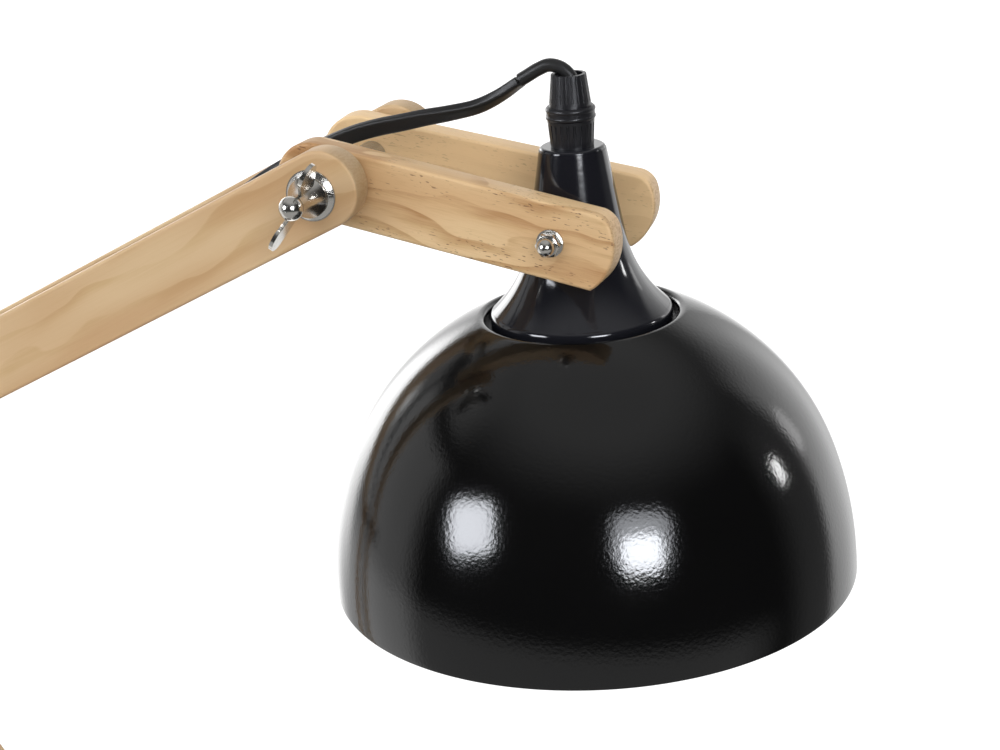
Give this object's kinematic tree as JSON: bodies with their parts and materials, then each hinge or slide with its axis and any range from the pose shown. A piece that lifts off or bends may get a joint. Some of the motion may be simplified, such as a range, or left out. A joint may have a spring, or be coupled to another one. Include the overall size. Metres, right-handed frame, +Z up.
{
  "type": "desk lamp",
  "caption": "Adjustable desk lamp: domed black metal shade on a trumpet neck held in a pine yoke, paired pine arms locked by wing nuts, round weighted base, corded.",
  "frame": {"origin": "centre of the base's underside, on the surface the lamp stands on", "axes": "+X towards the shade, +Y away from the viewer along the hinge bolts, +Z up"},
  "size_m": [0.4764, 0.2798, 0.4761],
  "materials": {
    "black_lacquer": "glossy black baked enamel with a faint orange peel",
    "iron": "rough cast iron",
    "felt": "dark grey felt",
    "pine_lower": "planed pine, clear matt varnish",
    "pine_upper": "planed pine, clear matt varnish",
    "pine_yoke": "flecked pine, clear matt varnish, pale end grain",
    "beech": "turned and sanded hardwood, clear varnish",
    "steel": "zinc-plated steel",
    "chrome": "bright plated steel",
    "fibre": "pressed fibre",
    "black_gloss": "polished black moulding",
    "bakelite": "black moulded holder",
    "porcelain": "white glazed ceramic insert",
    "brass": "turned and pressed brass",
    "opal_glass": "opal white glass",
    "black_grip": "satin black nylon",
    "cord_black": "satin black vinyl sheath",
    "tie_black": "black nylon strap",
    "black_plastic": "satin black moulding"
  },
  "bodies": {
    "base": {"base_cover": "black_lacquer", "base_ballast": "iron", "base_pad": "felt", "base_post": "beech", "post_screws": "steel", "base_bolt": "steel", "base_washers": "chrome", "cord_foot": "cord_black", "cord_floor": "cord_black", "cord_lead": "cord_black", "cord_coil": "cord_black", "coil_strap": "tie_black", "switch_bottom": "black_plastic", "switch_top": "black_plastic", "plug_body": "black_plastic", "plug_pins": "brass"},
    "base_nut": {"base_wing_nut": "chrome"},
    "lower_arm": {"lower_bar_front": "pine_lower", "lower_bar_rear": "pine_lower", "knee_spacer": "steel", "cord_knee": "cord_black", "cord_shin": "cord_black"},
    "upper_arm": {"upper_bar_front": "pine_upper", "upper_bar_rear": "pine_upper", "knee_bolt": "steel", "knee_washers": "chrome", "knee_fibre": "fibre", "elbow_bolt": "steel", "elbow_washers": "chrome", "elbow_fibre": "fibre", "cord_elbow": "cord_black", "cord_arm": "cord_black"},
    "knee_nut": {"knee_wing_nut": "chrome"},
    "elbow_nut": {"elbow_wing_nut": "chrome"},
    "yoke": {"yoke_bar_front": "pine_yoke", "yoke_bar_rear": "pine_yoke", "elbow_spacer": "steel", "stud_washers": "chrome", "cord_head": "cord_black"},
    "head": {"neck": "black_gloss", "neck_studs": "steel", "neck_washers": "fibre", "acorn_nuts": "chrome", "shade": "black_lacquer", "shade_ring": "bakelite", "nipple": "brass", "nipple_nut": "brass", "holder_cap": "bakelite", "holder_body": "bakelite", "holder_core": "porcelain", "bulb_cap": "chrome", "bulb_glass": "opal_glass", "grip_body": "black_grip", "grip_nut": "black_grip", "cord_sleeve": "cord_black"},
    "rocker": {"switch_rocker": "black_plastic"}
  },
  "joints": [
    {"name": "base_hinge", "type": "hinge", "parent": "base", "child": "lower_arm", "pos_m": [0, 0, 0.062], "axis": [0, 1, 0], "range_deg": [-20, 40], "deforming": ["cord_foot"]},
    {"name": "knee", "type": "hinge", "parent": "lower_arm", "child": "upper_arm", "pos_m": [-0.14913, 0, 0.27498], "axis": [0, 1, 0], "range_deg": [-30, 25], "deforming": ["cord_knee"]},
    {"name": "elbow", "type": "hinge", "parent": "upper_arm", "child": "yoke", "pos_m": [0.128, 0, 0.43498], "axis": [0, 1, 0], "range_deg": [-45, 16], "deforming": ["cord_elbow"]},
    {"name": "head_tilt", "type": "hinge", "parent": "yoke", "child": "head", "pos_m": [0.20542, 0, 0.42396], "axis": [0, 1, 0], "range_deg": [-18, 28], "deforming": ["cord_head"]},
    {"name": "base_nut_turn", "type": "hinge", "parent": "base", "child": "base_nut", "pos_m": [0, 0, 0.062], "axis": [0, 1, 0], "continuous": true},
    {"name": "knee_nut_turn", "type": "hinge", "parent": "upper_arm", "child": "knee_nut", "pos_m": [-0.14913, 0, 0.27498], "axis": [0, 1, 0], "continuous": true},
    {"name": "elbow_nut_turn", "type": "hinge", "parent": "upper_arm", "child": "elbow_nut", "pos_m": [0.128, 0, 0.43498], "axis": [0, 1, 0], "continuous": true},
    {"name": "rocker_press", "type": "hinge", "parent": "base", "child": "rocker", "pos_m": [-0.16, 0.064, 0.0129], "axis": [1, 0, 0], "range_deg": [-16, 0]}
  ]
}
